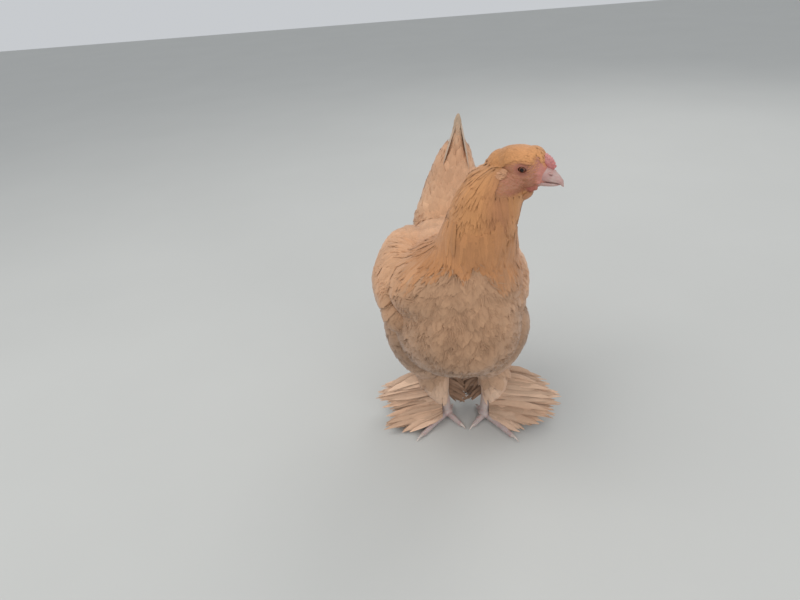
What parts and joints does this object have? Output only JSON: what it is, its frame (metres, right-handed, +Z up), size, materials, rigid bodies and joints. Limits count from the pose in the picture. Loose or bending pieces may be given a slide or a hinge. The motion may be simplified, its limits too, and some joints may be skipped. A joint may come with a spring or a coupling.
{
  "type": "brahma chicken",
  "caption": "Life-size still model of a buff feather-footed chicken, standing with its head turned to its left.",
  "frame": {"origin": "middle of the bounding box, on the floor that the feet stand on", "axes": "+Z up, -Y the way the breast faces, +X the bird's own left side"},
  "size_m": [0.2542, 0.3094, 0.4208],
  "materials": {
    "hackle": "soft matte",
    "body_plumage": "soft matte",
    "wing_plumage": "soft matte",
    "tail_plumage": "soft matte",
    "leg_plumage": "soft matte",
    "face": "fine grained",
    "comb": "beaded",
    "bill": "satin horn",
    "eye": "wet gloss",
    "scale": "scaled skin",
    "claw": "satin horn"
  },
  "bodies": {
    "root": {"torso": "body_plumage", "neck": "hackle", "head": "face", "comb": "comb", "bill_upper": "bill", "bill_lower": "bill", "tail": "tail_plumage", "eye_left": "eye", "earlobe_left": "face", "wattle_left": "comb", "wing_left": "wing_plumage", "thigh_left": "leg_plumage", "shank_left": "leg_plumage", "foot_left": "scale", "claw_inner_left": "claw", "claw_middle_left": "claw", "claw_outer_left": "claw", "claw_hind_left": "claw", "eye_right": "eye", "earlobe_right": "face", "wattle_right": "comb", "wing_right": "wing_plumage", "thigh_right": "leg_plumage", "shank_right": "leg_plumage", "foot_right": "scale", "claw_inner_right": "claw", "claw_middle_right": "claw", "claw_outer_right": "claw", "claw_hind_right": "claw"}
  },
  "joints": []
}
